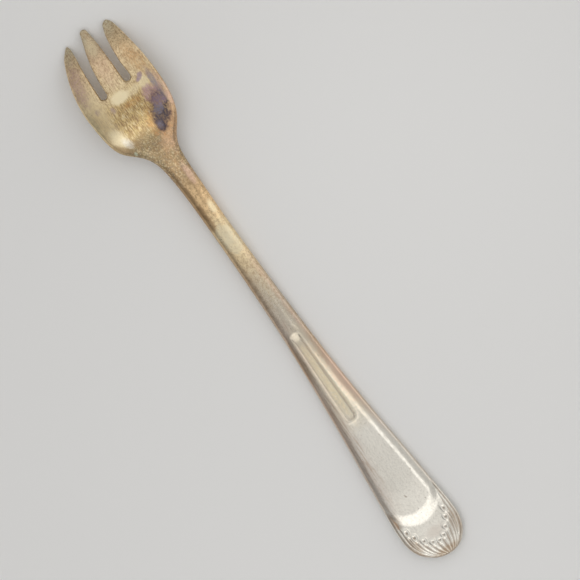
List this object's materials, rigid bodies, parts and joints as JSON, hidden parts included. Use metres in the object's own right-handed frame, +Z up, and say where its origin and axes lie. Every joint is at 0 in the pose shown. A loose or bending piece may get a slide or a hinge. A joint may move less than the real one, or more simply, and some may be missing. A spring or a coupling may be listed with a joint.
{
  "type": "seafood fork",
  "caption": "Three-tined seafood fork of struck metal with a flared bowl, slender stem, beaded and fluted handle end, and worn silver plate.",
  "frame": {"origin": "on the surface the fork lies on, under the middle of its bounding box", "axes": "+X along the fork to the tine tips, +Y across it, +Z up out of its back, with the tines pointing down"},
  "size_m": [0.15, 0.0202, 0.0081],
  "materials": {
    "base_metal": "worn and tarnished, with fine scratches along the fork",
    "silver": "worn silver plate, pitted and rubbed thin at its edges"
  },
  "bodies": {
    "root": {"blank": "base_metal", "silver_plate": "silver"}
  },
  "joints": []
}
